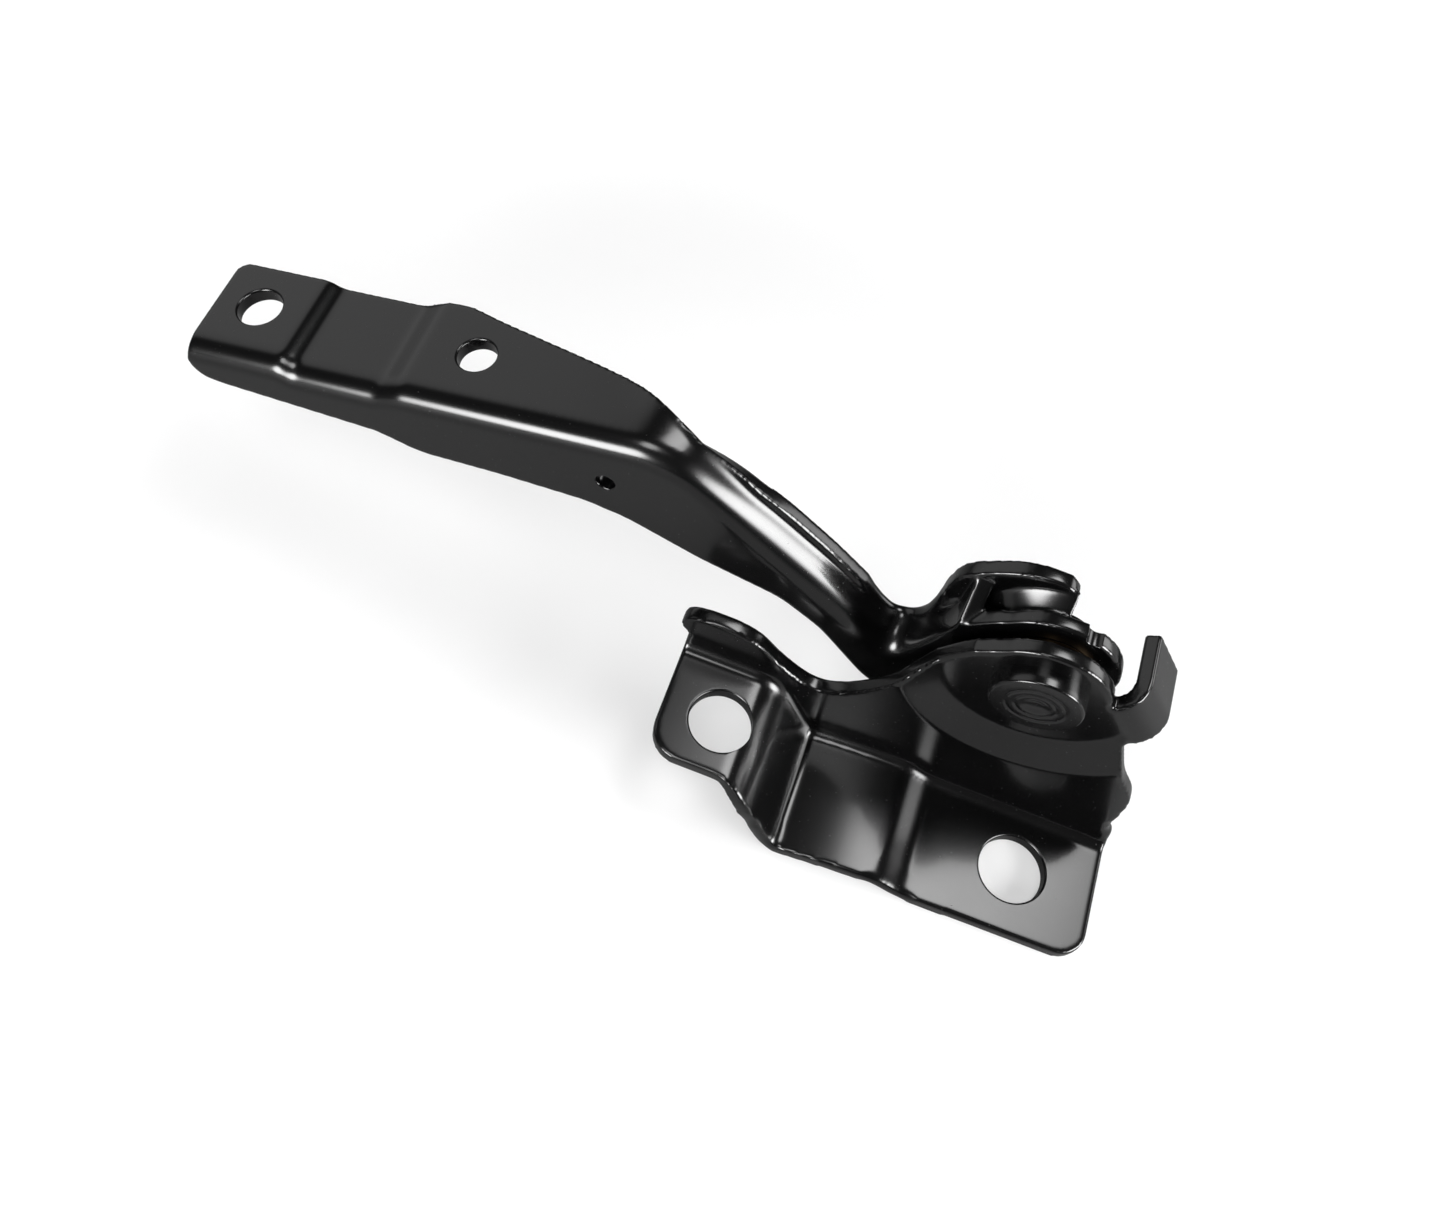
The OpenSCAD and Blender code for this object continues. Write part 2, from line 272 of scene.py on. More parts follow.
def easeAround(piece, centre, radius, times):
    # melt the creases near a point into one another
    group = piece.vertex_groups.new(name="ease")
    co = np.empty(3 * len(piece.data.vertices), np.float32)
    piece.data.vertices.foreach_get("co", co)
    away = np.linalg.norm(co.reshape(-1, 3) / mm - np.array(centre), axis=1)
    for index in np.nonzero(away < radius)[0]:
        weight = min(1, fineness["easeFade"] * (1 - away[index] / radius))
        group.add([int(index)], weight, "REPLACE")
    applyModifier(piece, "SMOOTH", factor=fineness["smoothFactor"], iterations=times, vertex_group="ease")
    piece.vertex_groups.clear()


def finishShade(piece, degrees):
    makeActive(piece)
    bpy.ops.object.shade_smooth_by_angle(angle=math.radians(degrees))
    print(piece.name + ":", len(piece.data.polygons), "faces")
    return piece


# body bracket

def domedPanel(fromX, toX, top, fall, steps):
    return [(x, top - fall * (x - toX) ** 2) for x in np.linspace(fromX, toX, steps)]


bracket = {
    "frontX": -73.4, "rearX": 16.38,
    "grid": (220, 110), "gridBefore": 3, "gridExtra": 4, "gridTop": 64,  # runs past the outline that cuts it
    "padShare": 0.24, "bendShare": 0.4,  # share of the grid's rows at the end of the pad and of the bend
    "bendR": 2.5,
    "padLine": [(-79, 19), (-57.6, 19), (-56.2, 18.55), (-54.8, 17.75), (-53.4, 16.6), (-52, 15.1),
                (-45, 3.4), *domedPanel(-44, -24.4, 5.1, 0.0043, 15), (-19.6, 3), (22, 3)],
    "padSoft": 1.2,
    "edgeLine": [(-79, -10.2), (-58, -10), (-53.5, -12.6), (-46, -13.5), (-36, -13.2), (22, -12.3)],
    "edgeSoft": 3,
    "frontCorner": 6.0, "rearCorner": 5.5,
    "dishIn": 17.0, "dishOut": 24.0, "dishSoft": 0.35,
    "under": -12, "frontTop": 22.2, "rearTop": 6.4, "cutY": (-40, 40),
    "frontEdge": [(-72.8, 23), (-75.2, 26.6), (-73.4, 29.8), (-67, 30.7), (-61, 29.2), (-55.5, 24.4),
                  (-50, 20.9), (-46, 20.8), (-41.5, 24.6), (-37, 31.5), (-32.5, 40.5), (-27, 49.5)],
    "earR": 12.2, "earArc": (138, 24, 40),
    "tabFoot": [(pivotX + 12, pivotZ + 2), (pivotX + 18, pivotZ - 6)],
    "rearEdge": [(pivotX + 18.2, pivotZ - 7.5), (8.4, 30.2), (12.2, 24.4), (13.4, 19), (13.8, 13),
                 (14.6, 10)],
    "reliefR": 3.2, "reliefAt": (17.8, 9.4), "reliefArc": (178, 244, 10),
    "tabTurn": 38.48, "tabW": 11.5, "tabRoot": 5.0, "tabReach": 12.5, "tabBend": 3.2, "tabSteps": 16,
    "tabAt": (11.75, 2.35),
    "rearHoleR": 6.5, "frontHoleR": 6.0, "frontHoleX": -62.0, "frontPadZ": 16, "rim": 0.45,
    "earHoleR": 5.02, "earHoleRim": 0.2,
    "easeAt": [((-22, -13, 3.5), 6), ((15.6, 11.5, 8.4), 5), ((-49, -12.5, 6), 7)], "easeTimes": 50,
}


def bracketSurface(u, v):
    b = bracket
    x = b["frontX"] - b["gridBefore"] + (b["rearX"] + b["gridExtra"] - b["frontX"]) * u
    pad = softLine(x, b["padLine"], b["padSoft"])
    edge = softLine(x, b["edgeLine"], b["edgeSoft"]) + roundEnd(x - b["frontX"], b["frontCorner"])
    edge = edge + roundEnd(b["rearX"] - x, b["rearCorner"])
    r, wall = b["bendR"], stack["wallY"]
    flat, bend = b["padShare"], b["bendShare"]
    y = edge + (wall - r - edge) * np.clip(v / flat, 0, 1)
    turn = np.radians(90) * np.clip((v - flat) / (bend - flat), 0, 1)
    y = y + r * np.sin(turn)
    z = pad + r * (1 - np.cos(turn))
    z = z + np.clip((v - bend) / (1 - bend), 0, 1) * (b["gridTop"] - pad - r)
    away = np.hypot(x - pivotX, z - pivotZ)
    dishLine = [(0, 1), (b["dishIn"], 1), (b["dishOut"], 0), (200, 0)]
    dish = softLine(away, dishLine, b["dishSoft"])
    y = y + np.where(v > bend, dish * (stack["earY"] - wall), 0)
    return np.stack([x, y, z], axis=1)


def bracketOutline():
    b = bracket
    front = [(b["frontX"], b["under"]), (b["frontX"], b["frontTop"])] + throughPoints(b["frontEdge"])
    ear = arcPoints((pivotX, pivotZ), b["earR"], *b["earArc"])
    rear = throughPoints(b["rearEdge"]) + arcPoints(b["reliefAt"], b["reliefR"], *b["reliefArc"])
    return front + ear + b["tabFoot"] + rear + [(b["rearX"], b["rearTop"]), (b["rearX"], b["under"])]


def stopTab():
    # the strip leaves the ear, turns through the bend and stands behind it
    b = bracket
    deselectAll()
    bpy.ops.mesh.primitive_plane_add(size=1)
    piece = startPiece("stopTab")
    for vertex in piece.data.vertices:   # local x runs out of the ear, local z along the bend line
        x, z = (vertex.co.x - 0.5) * b["tabRoot"], (vertex.co.y - 0.5) * b["tabW"]
        vertex.co = (x * mm, stack["earY"] * mm, z * mm)
    makeActive(piece)
    for face in piece.data.polygons:
        face.select = False
    for vertex in piece.data.vertices:   # only the edge at the bend line
        vertex.select = vertex.co.x > -0.1 * mm
    for edge in piece.data.edges:
        edge.select = all(piece.data.vertices[i].select for i in edge.vertices)
    bpy.ops.object.mode_set(mode="EDIT")
    bendAt = Vector((0, earBack + b["tabBend"], 0)) * mm
    bpy.ops.mesh.spin(steps=b["tabSteps"], angle=math.radians(-90), center=bendAt, axis=alongZ)
    leg = (b["tabReach"] - b["tabBend"]) * mm
    bpy.ops.mesh.extrude_region_move(TRANSFORM_OT_translate={"value": (0, leg, 0)})
    bpy.ops.object.mode_set(mode="OBJECT")
    tidyMesh(piece)
    thicken(piece, 1 if piece.data.polygons[0].normal.y > 0 else -1)
    tabAt = Vector((pivotX + b["tabAt"][0], 0, pivotZ + b["tabAt"][1])) * mm
    piece.data.transform(Matrix.Translation(tabAt) @ Matrix.Rotation(math.radians(-b["tabTurn"]), 4, "Y"))
    return piece


def makeBracket():
    b = bracket
    piece = shapedGrid("bodyBracket", *b["grid"], bracketSurface)
    thicken(piece, -1 if piece.data.polygons[0].normal.z > 0 else 1)
    cutWith(piece, outlinePlate("bracketOutline", bracketOutline(), *b["cutY"]), "INTERSECT")
    piece = joinPieces("bodyBracket", [piece, stopTab()])
    fuse(piece)
    for centre, radius in b["easeAt"]:
        easeAround(piece, centre, radius, b["easeTimes"])
    frontAt = (b["frontHoleX"], 0, b["frontPadZ"] + halfSheet)
    earAt = (pivotX, stack["earY"] + halfSheet, pivotZ)
    drillHole(piece, "rearHole", (0, 0, halfSheet), alongZ, b["rearHoleR"], b["rim"])
    drillHole(piece, "frontHole", frontAt, alongZ, b["frontHoleR"], b["rim"])
    drillHole(piece, "earHole", earAt, alongY, b["earHoleR"], b["earHoleRim"])
    return finishShade(piece, fineness["pressedDeg"])


# bonnet arm

arm = {
    "tipX": -177.0, "neckX": -31.0,
    "grid": (330, 80), "closeUp": 0.5,   # columns close up at both ends
    "flangeZ": 42.1, "flangeDeg": 13.3,
    "crestX": (-182, -90),               # the straight run of the flange, then the neck's crest
    "crestTail": [(-83, 61.6), (-76, 57), (-62, 47.2), (-54, 41.7), (-45, 34.4), (-39.5, 30), (-37.2, 29.3),
                  (-35.4, 31.4), (-33.2, 37.3), (-31, 43.5), (-26, 57.5)],
    "crestSoft": [(-46, 3), (-40, 1.2)],
    "relief": [(-158.6, 0), (-155.6, 1), (-139.4, 1), (-135.2, 0)], "reliefDepth": 1.5,
    "lowLine": [(-182, 34), (-170, 34.2), (-139, 37.8), (-131, 36.2), (-115, 39), (-99, 41), (-91, 40.4),
                (-76, 35.9), (-60, 32.9), (-51, 27.4), (-40, 16), (-35, 13.4), (-26, 13)],
    "reachLine": [(-182, 22), (-138, 22), (-132, 23.4), (-124, 21.1), (-104, 16.4), (-95, 13.8), (-87, 9),
                  (-80, 5.8), (-60, 4.6), (-45, 5.2), (-38, 6.6), (-26, 6.8)],
    "bendR": [(-95, 4.4), (-78, 4.8), (-66, 6.8), (-26, 6.8)],
    "turnLine": [(-95, 90), (-70, 72), (-26, 72)],                   # how far the sheet rolls over
    "liftLine": [(-90, 0), (-68, 72), (-26, 72)],                    # how far its lip turns up again
    "liftR": [(-95, 8), (-82, 4), (-70, 1.5), (-26, 1.5)],
    "lipLine": [(-95, 0.6), (-26, 0.3)],
    "soft": {"relief": 0.8, "lowLine": 2.4, "reachLine": 3.2, "bendR": 3, "turnLine": 5, "liftLine": 5,
             "liftR": 2, "lipLine": 2},
    "wallShare": 0.22, "rollShare": 0.48, "runShare": 0.74, "liftShare": 0.94,   # of the grid's rows
    "leastRun": 0.5,
    "lowCorner": 4.5, "lowTrim": 0.1, "farCorner": 2.5,
    "clearOfTip": [(-160, 30), (-120, 20), (40, -20), (40, 100)], "clearY": (-10, 80),
    "earLow": [(-39, 15.6), (-35, 13.6), (-31, 13.2), (-25, 15.6), (-16, 23), (pivotX + 7, pivotZ - 11)],
    "earR": 12.6, "earArc": (-46, 140, 60),
    "earHigh": [(-25.4, 51.2), (-29.4, 46.4), (-32.4, 38), (-35.4, 29), (-38, 24)],
    "hoodEdge": [(-37, 27.5), (-35.2, 33), (-34, 42), (-33, 50.2), (-30, 54.4), (-24.5, 58.4), (-19.5, 59.9),
                 (-16, 59.6), (-14.2, 58), (-13.4, 55.6), (-13.2, 54.2)],
    "hoodArc": (88, 190, 30), "hoodFoot": [(-27, 35), (-31, 27)],
    "cross": [(-36.4, 26), (-32.9, 36), (-30.2, 45.6), (-30.2, 53.6),
              (-27.2, 54), (-27.2, 45), (-29.9, 35), (-33.4, 26)],
    "crossInset": 0.1,
    "slope": [(-50, 0), (10, 0), (10, 40), (-50, 40)], "slopeDepth": 40, "slopeZ": 2, "slopeDeg": 45,
    "troughR": 9.0, "troughFloor": 1.8, "troughFrom": 92, "troughSweep": 86, "troughLap": 0.8,
    "troughRise": 2.5, "troughCurl": 0.5, "troughPast": 1.1, "troughRows": 17, "troughSteps": 48,
    "rootAt": (-34.5, 25, 31), "rootR": 14, "rootEase": 160,         # where the neck runs into the cross wall
    "holes": [(-168, 4.25), (-125, 3.6)], "holeY": 33.0, "rim": 0.45,
    "drainX": -95.6, "drainZ": 49.6, "drainR": 1.8, "drainRim": 0.3,
    "boreR": 6.52, "boreRim": 0.2,
    "notchAt": (13.2, 71), "notchR": 1.8, "notchRim": 0.3,           # distance and angle from the pivot
}


def flangeHeight(x):
    return arm["flangeZ"] + (x - arm["tipX"]) * math.tan(math.radians(arm["flangeDeg"]))


def armSurface(u, v):
    a = arm
    spread = u - a["closeUp"] * np.sin(2 * np.pi * u) / (2 * np.pi)
    x = a["tipX"] + (a["neckX"] - a["tipX"]) * spread

    def line(name):
        return softLine(x, a[name], a["soft"][name])

    def share(fromV, toV):
        return np.clip((v - fromV) / (toV - fromV), 0, 1)

    crest = [(at, flangeHeight(at)) for at in a["crestX"]] + a["crestTail"]
    top = softLine(x, crest, np.interp(x, *np.transpose(a["crestSoft"])))
    top = top - a["reliefDepth"] * line("relief")
    low = line("lowLine")
    reach = line("reachLine") - roundEnd(x - a["tipX"], a["farCorner"])
    turnDeg = line("turnLine")
    liftDeg = np.minimum(turnDeg, line("liftLine"))
    turn, ends = np.radians(turnDeg), np.radians(turnDeg - liftDeg)
    r, liftR, lip = line("bendR"), line("liftR"), line("lipLine")
    bendZ = top - r * np.sin(turn)
    span = reach - r * (1 - np.cos(turn)) - liftR * (np.cos(ends) - np.cos(turn)) - lip * np.sin(ends)
    run = np.maximum(a["leastRun"], span / np.sin(turn))

    # up the wall, over the roll, across the run, round the lift and out along the lip
    onWall = share(0, a["wallShare"])
    angle = turn * share(a["wallShare"], a["rollShare"])
    onRun = run * share(a["rollShare"], a["runShare"])
    back = turn + (ends - turn) * share(a["runShare"], a["liftShare"])
    onLip = lip * share(a["liftShare"], 1)
    y = stack["armY"] + r * (1 - np.cos(angle)) + onRun * np.sin(turn)
    y = y + liftR * (np.cos(back) - np.cos(turn)) + onLip * np.sin(ends)
    z = low + (bendZ - low) * onWall + r * np.sin(angle) + onRun * np.cos(turn)
    z = z + liftR * (np.sin(turn) - np.sin(back)) + onLip * np.cos(ends)
    return np.stack([x, y, z], axis=1)


def armCrossWall():
    # the wall from the ear up to the hood, cut back to a slope below
    a = arm
    inset = a["crossInset"]
    wall = outlinePlate("crossWall", a["cross"], stack["armY"] + inset, hoodBack - inset)
    slope = outlinePlate("crossSlope", a["slope"], 0, a["slopeDepth"])
    slopeAt = Vector((0, stack["armY"], pivotZ + a["slopeZ"])) * mm
    slope.data.transform(Matrix.Translation(slopeAt) @ Matrix.Rotation(math.radians(a["slopeDeg"]), 4, "X"))
    cutWith(wall, slope)
    return wall


def armTrough():
    # the floor that curves up from the ear to the hood
    a = arm
    inner, floor = a["troughR"], a["troughR"] + a["troughFloor"]
    low, high = armBack - a["troughLap"], stack["hoodY"] + a["troughLap"]
    across = np.linspace(low, high, a["troughRows"])
    rise = np.clip((across - armBack) / (stack["hoodY"] - armBack), 0, a["troughPast"])
    curve = list(zip(floor + a["troughRise"] * rise + a["troughCurl"] * rise ** 2, across))
    profile = [(inner, low)] + curve + [(inner, high)]
    return turned("armTrough", profile, pivotAt, alongY, a["troughFrom"], a["troughSweep"], a["troughSteps"])


def armPlates():
    a = arm
    middle = (pivotX, pivotZ)
    ear = throughPoints(a["earLow"]) + arcPoints(middle, a["earR"], *a["earArc"])
    ear += throughPoints(a["earHigh"])
    hood = throughPoints(a["hoodEdge"]) + arcPoints(middle, a["troughR"], *a["hoodArc"]) + a["hoodFoot"]
    crossWall = armCrossWall()
    return [
        outlinePlate("armEar", ear, stack["armY"], armBack),
        outlinePlate("armHood", hood, stack["hoodY"], hoodBack),
        crossWall,
        armTrough(),
    ]


def tipOutline():
    # rounds the low corner of the tip and leaves the rest of the arm alone
    a = arm
    tip, corner, lowEnd = a["tipX"], a["lowCorner"], a["lowLine"][1][1]
    cornerAt = (tip + corner, lowEnd + corner - a["lowTrim"])
    return arcPoints(cornerAt, corner, 180, 270, 12) + a["clearOfTip"] + [(tip, a["clearOfTip"][-1][1])]


def makeArm():
    a = arm
    piece = shapedGrid("bonnetArm", *a["grid"], armSurface)
    facing = sum((face.normal * face.area for face in piece.data.polygons), Vector())
    thicken(piece, -1 if facing.z > 0 else 1)
    cutWith(piece, outlinePlate("tipOutline", tipOutline(), *a["clearY"]), "INTERSECT")
    piece = joinPieces("bonnetArm", [piece] + armPlates())
    fuse(piece)
    easeAround(piece, a["rootAt"], a["rootR"], a["rootEase"])
    slope = math.radians(a["flangeDeg"])
    down = Vector((math.sin(slope), 0, -math.cos(slope)))
    for i, (x, radius) in enumerate(a["holes"]):
        holeAt = Vector((x, a["holeY"], flangeHeight(x))) + down * halfSheet
        drillHole(piece, f"bonnetHole{i}", holeAt, down, radius, a["rim"])
    middleY = stack["armY"] + halfSheet
    far, angle = a["notchAt"][0], math.radians(a["notchAt"][1])
    notchAt = (pivotX + far * math.cos(angle), middleY, pivotZ + far * math.sin(angle))
    drillHole(piece, "drainHole", (a["drainX"], middleY, a["drainZ"]), alongY, a["drainR"], a["drainRim"])
    drillHole(piece, "armBore", (pivotX, middleY, pivotZ), alongY, a["boreR"], a["boreRim"])
    drillHole(piece, "earNotch", notchAt, alongY, a["notchR"], a["notchRim"])
    return finishShade(piece, fineness["pressedDeg"])


# pivot pieces

rivet = {
    "headR": 8.2, "headH": 3.2, "headRim": 0.5, "headRimDeg": -84, "facePoints": 64, "faceGap": 0.05,
    "hollow": 0.12, "hollowR": 6.4,
    "rings": [(5.1, 0.07, 0.3), (3.5, 0.1, 0.28)],       # radius, depth and half width of each pressed ring
    "dimpleR": 2.0, "dimpleDepth": 0.25,
    "shankR": 5.0,
    "tailY": 25.4, "tailR": 7.4, "tailTopR": 6.8, "tailH": 2.4, "tailRim": 0.7, "tailRimDeg": (10, 88),
    "tailFlatR": 5, "tailPoints": 16, "tailDimple": 0.3, "tailDimpleR": 2.5,
}


def headFace(radius):
    # how deep the face of the head lies below its rim plane
    r = rivet
    depth = r["hollow"] * max(0, 1 - radius / r["hollowR"])
    for at, deep, half in r["rings"]:
        depth += deep * math.exp(-((radius - at) / half) ** 2)
    return depth + r["dimpleDepth"] * math.exp(-(radius / r["dimpleR"]) ** 4)


def tailFace(radius):
    return rivet["tailDimple"] * math.exp(-(radius / rivet["tailDimpleR"]) ** 2)


def makeRivet():
    r = rivet
    face, rim = stack["earY"] - r["headH"], r["headRim"]
    flatRadii = np.linspace(0, r["headR"] - rim - r["faceGap"], r["facePoints"])
    head = [(radius, face + headFace(radius)) for radius in flatRadii]
    head += arcPoints((r["headR"] - rim, face + rim), rim, r["headRimDeg"], 0, fineness["cornerSteps"])
    shank = [(r["headR"], stack["earY"]), (r["shankR"], stack["earY"]), (r["shankR"], r["tailY"])]
    tailEnd, rim = r["tailY"] + r["tailH"], r["tailRim"]
    tail = [(r["tailR"], r["tailY"])]
    tail += arcPoints((r["tailTopR"] - rim, tailEnd - rim), rim, *r["tailRimDeg"], fineness["cornerSteps"])
    tailRadii = np.linspace(r["tailFlatR"], 0, r["tailPoints"])
    tail += [(radius, tailEnd - tailFace(radius)) for radius in tailRadii]
    piece = turned("pivotRivet", head + shank + tail, pivotAt, alongY, closed=False)
    return finishShade(piece, fineness["turnedDeg"])


def quarterRound(radius, height, rim, fromDeg):
    return arcPoints((radius, height), rim, fromDeg, fromDeg + 90, fineness["rimSteps"])


spacerWasher = {"bore": 5.02, "outer": 9.2, "fromY": earBack, "toY": earBack + 1, "rim": 0.15}
backingWasher = {"bore": 5.02, "outer": 8.5, "fromY": armBack + 0.3, "toY": armBack + 1.8, "rim": 0.2}


def makeWasher(name, w):
    # a ring with its four edges rounded
    rim = w["rim"]
    inside, outside = w["bore"] + rim, w["outer"] - rim
    low, high = w["fromY"] + rim, w["toY"] - rim
    profile = quarterRound(outside, low, rim, -90) + quarterRound(outside, high, rim, 0)
    profile += quarterRound(inside, high, rim, 90) + quarterRound(inside, low, rim, 180)
    return finishShade(turned(name, profile, pivotAt, alongY), fineness["turnedDeg"])


bush = {"bore": 5.05, "outer": 6.5, "flangeR": 8.3, "flangeY": 19.3, "rim": 0.15}


def makeBush():
    b, rim = bush, bush["rim"]
    low, high = b["flangeY"] + rim, armBack - rim
    profile = quarterRound(b["flangeR"] - rim, low, rim, -90)
    profile += quarterRound(b["flangeR"] - rim, stack["armY"] - rim, rim, 0)
    profile += [(b["outer"], stack["armY"])]
    profile += quarterRound(b["outer"] - rim, high, rim, 0)
    profile += quarterRound(b["bore"] + rim, high, rim, 90)
    profile += quarterRound(b["bore"] + rim, low, rim, 180)
    return finishShade(turned("pivotBush", profile, pivotAt, alongY), fineness["turnedDeg"])


# finishes

class Wire:
    # a socket of a finish, whose arithmetic adds Math nodes
    def __init__(self, finish, socket):
        self.finish, self.socket = finish, socket

    def maths(self, operation, first, second):
        return self.finish.node("ShaderNodeMath", {"operation": operation}, {0: first, 1: second})

    def __add__(self, other):
        return self.maths("ADD", self, other)

    def __radd__(self, other):
        return self.maths("ADD", other, self)

    def __sub__(self, other):
        return self.maths("SUBTRACT", self, other)

    def __mul__(self, other):
        return self.maths("MULTIPLY", self, other)


class Finish:
    def __init__(self, name):
        self.material = bpy.data.materials.new(name)
        self.material.use_nodes = True
        self.tree = self.material.node_tree
        self.tree.nodes.clear()

    def node(self, kind, settings=None, values=None, output=0):
        made = self.tree.nodes.new(kind)
        for key, value in (settings or {}).items():
            setattr(made, key, value)
        for key, value in (values or {}).items():
            if isinstance(value, Wire):
                self.tree.links.new(value.socket, made.inputs[key])
            else:
                made.inputs[key].default_value = value
        return Wire(self, made.outputs[output] if made.outputs else None)

    def noise(self, place, scale, detail, roughness=0.5):
        return self.node("ShaderNodeTexNoise", None,
                         {"Vector": place, "Scale": scale, "Detail": detail, "Roughness": roughness})

    def between(self, value, low, high):
        settings = {"interpolation_type": "SMOOTHSTEP"}
        return self.node("ShaderNodeMapRange", settings, {"Value": value, "From Min": low, "From Max": high})

    def mix(self, factor, first, second):
        settings = {"data_type": "RGBA"}
        return self.node("ShaderNodeMix", settings, {0: factor, 6: first, 7: second}, output=2)

    def bump(self, height, strength, distance):
        values = {"Strength": strength, "Distance": distance, "Height": height}
        return self.node("ShaderNodeBump", None, values)

    def finish(self, **sockets):
        values = {key.replace("_", " "): value for key, value in sockets.items()}
        shader = self.node("ShaderNodeBsdfPrincipled", None, values)
        self.node("ShaderNodeOutputMaterial", None, {"Surface": shader})
        return self.material


blackPaint = {
    "dark": (0.0007, 0.0007, 0.0008, 1), "light": (0.0018, 0.0018, 0.0019, 1), "dust": (0.03, 0.03, 0.03, 1),
    "rough": 0.22, "coat": 0.3, "coatRough": 0.1, "index": 1.5,
    "drift": (45, 4, 0.6), "driftRough": 0.1,            # scale, detail and roughness of each noise
    "peel": (900, 2), "peelHeight": 0.0012,
    "ripple": (70, 1), "rippleHeight": 0.004,
    "specks": (1900, 1), "speckEdge": (0.74, 0.8), "speckShow": 0.35, "speckRough": 0.15,
    "bump": 1.0, "bumpDistance": 0.001,
}


def eCoat(name):
    # dipped black paint: a thin even skin with a fine peel, faint drifts of gloss and a little dust
    p = blackPaint
    f = Finish(name)
    place = f.node("ShaderNodeTexCoord", output="Object")
    drift = f.noise(place, *p["drift"])
    peel = f.noise(place, *p["peel"])
    ripple = f.noise(place, *p["ripple"])
    specks = f.between(f.noise(place, *p["specks"]), *p["speckEdge"])
    colour = f.mix(drift, p["dark"], p["light"])
    colour = f.mix(specks * p["speckShow"], colour, p["dust"])
    height = peel * p["peelHeight"] + ripple * p["rippleHeight"]
    bump = f.bump(height, p["bump"], p["bumpDistance"])
    rough = p["rough"] + (drift - 0.5) * p["driftRough"] + specks * p["speckRough"]
    return f.finish(Base_Color=colour, Roughness=rough, Normal=bump, Coat_Weight=p["coat"],
                    Coat_Roughness=p["coatRough"], IOR=p["index"])


# bronze hue with a real grain, darkened almost to black as painted shade for the gap between the ears where
# the bush shows
shadedBronze = {
    "dark": (0.03, 0.02, 0.011, 1), "light": (0.045, 0.03, 0.016, 1),
    "grain": (600, 3), "rough": 0.3, "grainRough": 0.15, "bump": 0.5, "bumpDistance": 0.00005,
}


def paintShadedBronze():
    # the bush's colour is painted shade: bronze darkened to read as the shaded gap between the ears
    p = shadedBronze
    f = Finish("bushBronzePaintedShade")
    place = f.node("ShaderNodeTexCoord", output="Object")
    grain = f.noise(place, *p["grain"])
    colour = f.mix(grain, p["dark"], p["light"])
    bump = f.bump(grain, p["bump"], p["bumpDistance"])
    rough = p["rough"] + grain * p["grainRough"]
    return f.finish(Base_Color=colour, Metallic=1.0, Roughness=rough, Normal=bump)


# camera and studio

view = {
    "at": (-67.1, -102.8, 256.7),
    "right": (0.93402, 0.33307, 0.12914),
    "up": (-0.35282, 0.80345, 0.47956),
    "back": (0.05597, -0.49348, 0.86795),
    "lens": 34.88, "sensor": 36, "shift": (0.0322, -0.0516), "clip": (0.01, 50),
}


def makeCamera():
    camera = bpy.data.cameras.new("photoView")
    camera.lens = view["lens"]
    camera.sensor_width = view["sensor"]
    camera.sensor_fit = "HORIZONTAL"
    camera.shift_x, camera.shift_y = view["shift"]
    camera.clip_start, camera.clip_end = view["clip"]
    holder = bpy.data.objects.new("photoView", camera)
    bpy.context.scene.collection.objects.link(holder)
    turn = Matrix((view["right"], view["up"], view["back"])).transposed().to_4x4()
    holder.matrix_world = Matrix.Translation(Vector(view["at"]) * mm) @ turn
    bpy.context.scene.camera = holder


studio = {
    "floorZ": -0.2, "floorSize": 12, "floorRough": 0.8,
    "floorTone": 0.2, "floorSeen": 0.5, "floorLift": 0.38,   # mirrored tone, seen tone, its lift to white
    "floorFade": (0.09, 0.3),            # white beyond the shadow, in m from the part
    "skyLevel": 0.05,
    "softEdge": (0.22, 0.5),             # where a lamp's face starts to fade, and its edge
    "lamps": [   # name, azimuth, elevation, distance in m, width, height, brightness
        ("keyBox", 55, 65.5, 0.9, 0.45, 0.45, 9.0),
        ("frontStrip", 247, 17, 0.7, 0.5, 0.46, 20.0),
        ("neckStrip", 347, 20, 0.7, 0.7, 0.36, 20.0),
        ("rampBox", 28, 16, 0.8, 0.36, 0.5, 3.5),
        ("topStrip", 250, 67, 1.0, 0.5, 0.5, 7.0),
        ("sidePanel", 148, 30, 1.2, 1.9, 1.4, 0.75),
    ],
}
partMiddle = (cadLow + cadHigh) / 2


def makeFloor():
    s = studio
    deselectAll()
    bpy.ops.mesh.primitive_plane_add(size=s["floorSize"], location=(0, 0, s["floorZ"] * mm))
    floor = startPiece("floor")
    f = Finish("paleFloor")
    seen = f.node("ShaderNodeLightPath", output="Is Camera Ray")
    tone, pale, lift = s["floorTone"], s["floorSeen"], s["floorLift"]
    colour = f.mix(seen, (tone, tone, tone, 1), (pale, pale, pale, 1))
    place = f.node("ShaderNodeTexCoord", output="Object")
    under = (partMiddle[0], partMiddle[1], 0)
    away = f.node("ShaderNodeVectorMath", {"operation": "DISTANCE"}, {0: place, 1: under}, output="Value")
    fade = f.between(away, *s["floorFade"])
    glow = seen * (lift + fade * (1 - lift))
    f.finish(Base_Color=colour, Roughness=s["floorRough"], Emission_Color=glow, Emission_Strength=1)
    floor.data.materials.append(f.material)


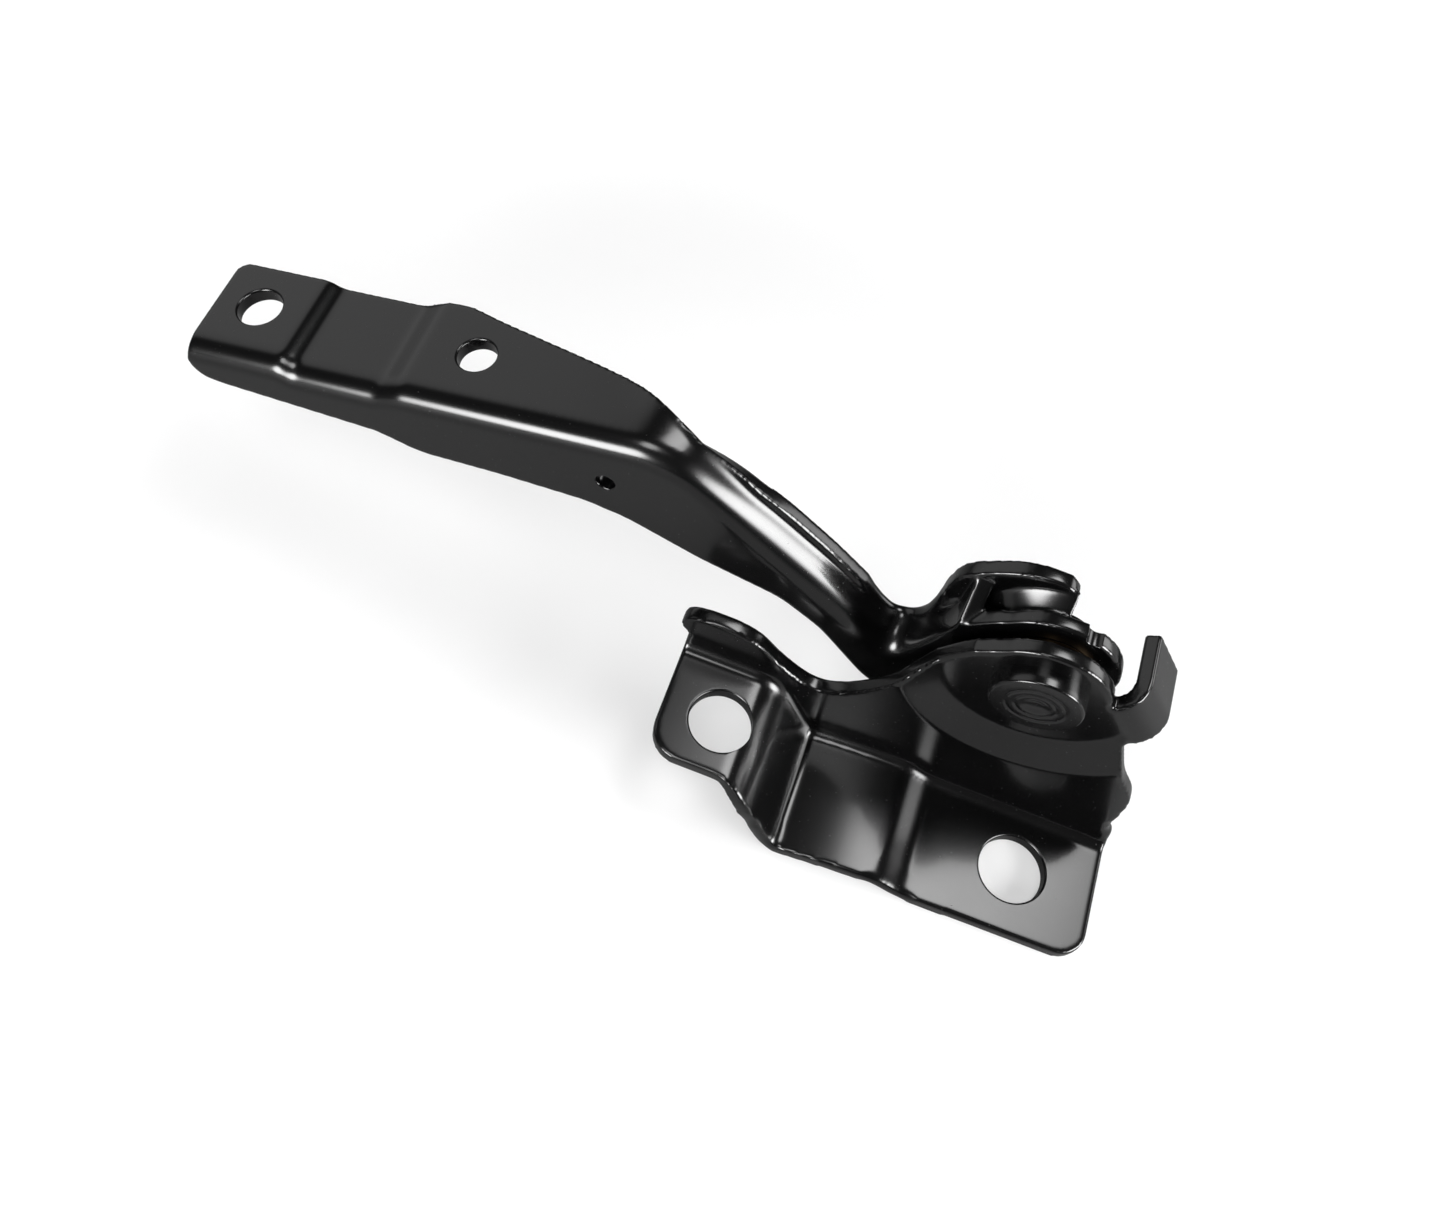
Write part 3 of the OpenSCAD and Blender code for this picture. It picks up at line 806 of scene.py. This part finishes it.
def softenLamp(lamp):
    # the face of a softbox is brightest in the middle and fades to its edges
    lamp.use_nodes = True
    tree = lamp.node_tree
    glow = tree.nodes["Emission"]
    face = tree.nodes.new("ShaderNodeNewGeometry")
    apart = tree.nodes.new("ShaderNodeVectorMath")
    apart.operation = "DISTANCE"
    apart.inputs[1].default_value = (0.5, 0.5, 0)
    fade = tree.nodes.new("ShaderNodeMapRange")
    fade.interpolation_type = "SMOOTHSTEP"
    fade.inputs["From Min"].default_value, fade.inputs["From Max"].default_value = studio["softEdge"]
    fade.inputs["To Min"].default_value, fade.inputs["To Max"].default_value = 1, 0
    tree.links.new(face.outputs["Parametric"], apart.inputs[0])
    tree.links.new(apart.outputs["Value"], fade.inputs["Value"])
    tree.links.new(fade.outputs[0], glow.inputs["Strength"])


def makeLamps():
    for name, azimuth, elevation, distance, width, height, brightness in studio["lamps"]:
        lamp = bpy.data.lights.new(name, "AREA")
        lamp.shape = "RECTANGLE"
        lamp.size, lamp.size_y = width, height
        lamp.energy = math.pi * width * height * brightness
        softenLamp(lamp)
        holder = bpy.data.objects.new(name, lamp)
        bpy.context.scene.collection.objects.link(holder)
        holder.visible_camera = False
        around, rise = math.radians(azimuth), math.radians(elevation)
        level = math.cos(rise)
        towards = Vector((level * math.cos(around), level * math.sin(around), math.sin(rise)))
        holder.location = partMiddle + towards * distance
        holder.rotation_euler = towards.to_track_quat("Z", "Y").to_euler()


def makeSky():
    # white to the camera, dim to the part
    world = bpy.data.worlds.new("studio")
    bpy.context.scene.world = world
    world.use_nodes = True
    tree = world.node_tree
    backdrop = tree.nodes["Background"]
    backdrop.inputs["Color"].default_value = (1, 1, 1, 1)
    seen = tree.nodes.new("ShaderNodeLightPath")
    level = tree.nodes.new("ShaderNodeMapRange")
    level.inputs["To Min"].default_value = studio["skyLevel"]
    tree.links.new(seen.outputs["Is Camera Ray"], level.inputs["Value"])
    tree.links.new(level.outputs[0], backdrop.inputs["Strength"])
    bpy.context.scene.view_settings.view_transform = "Standard"


def dress(piece, material, body, node):
    piece.data.materials.clear()
    piece.data.materials.append(material)
    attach(piece, body)
    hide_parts(node)


makeCamera()
makeFloor()
makeLamps()
makeSky()
print("camera and studio set")

bracketPaint = eCoat("bracketPaint")
armPaint = eCoat("armPaint")
rivetPaint = eCoat("rivetPaint")
dress(makeBracket(), bracketPaint, "bracket", "body_bracket")
dress(makeArm(), armPaint, "arm", "bonnet_arm")
dress(makeRivet(), rivetPaint, "bracket", "pivot_rivet")
dress(makeWasher("spacerWasher", spacerWasher), rivetPaint, "bracket", "spacer_washer")
dress(makeWasher("backingWasher", backingWasher), rivetPaint, "bracket", "backing_washer")
dress(makeBush(), paintShadedBronze(), "arm", "pivot_bush")
print("pieces dressed")
